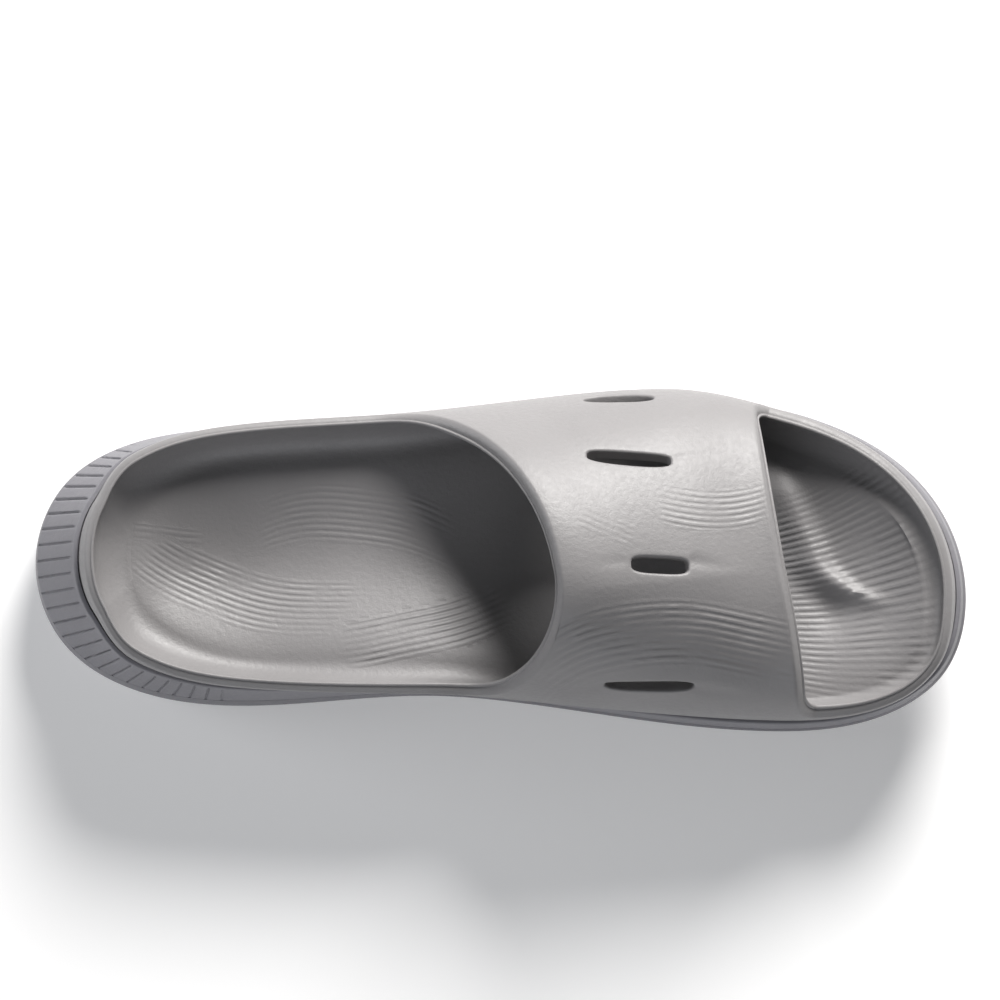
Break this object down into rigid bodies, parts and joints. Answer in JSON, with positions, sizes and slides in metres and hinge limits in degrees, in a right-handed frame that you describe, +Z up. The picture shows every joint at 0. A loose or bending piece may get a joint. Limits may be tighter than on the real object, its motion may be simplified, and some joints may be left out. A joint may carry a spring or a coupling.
{
  "type": "sport slide sandal",
  "caption": "Left open-toe foam slide sandal: slotted band over the forefoot, cupped heel with ribbed flared midsole, contoured footbed and cupped outsole.",
  "frame": {"origin": "on the floor under the middle of the whole shoe's box", "axes": "+X from heel to toe, +Y from the big toe's side to the little toe's side, +Z up"},
  "size_m": [0.3, 0.1086, 0.088],
  "materials": {
    "upper_foam": "satin moulded foam with fine contour lines",
    "midsole_foam": "satin moulded foam, vertical ribs round the heel",
    "outsole_foam": "smooth moulded foam, matt tread"
  },
  "bodies": {
    "root": {"upper_and_footbed": "upper_foam", "midsole": "midsole_foam", "outsole": "outsole_foam"}
  },
  "joints": []
}
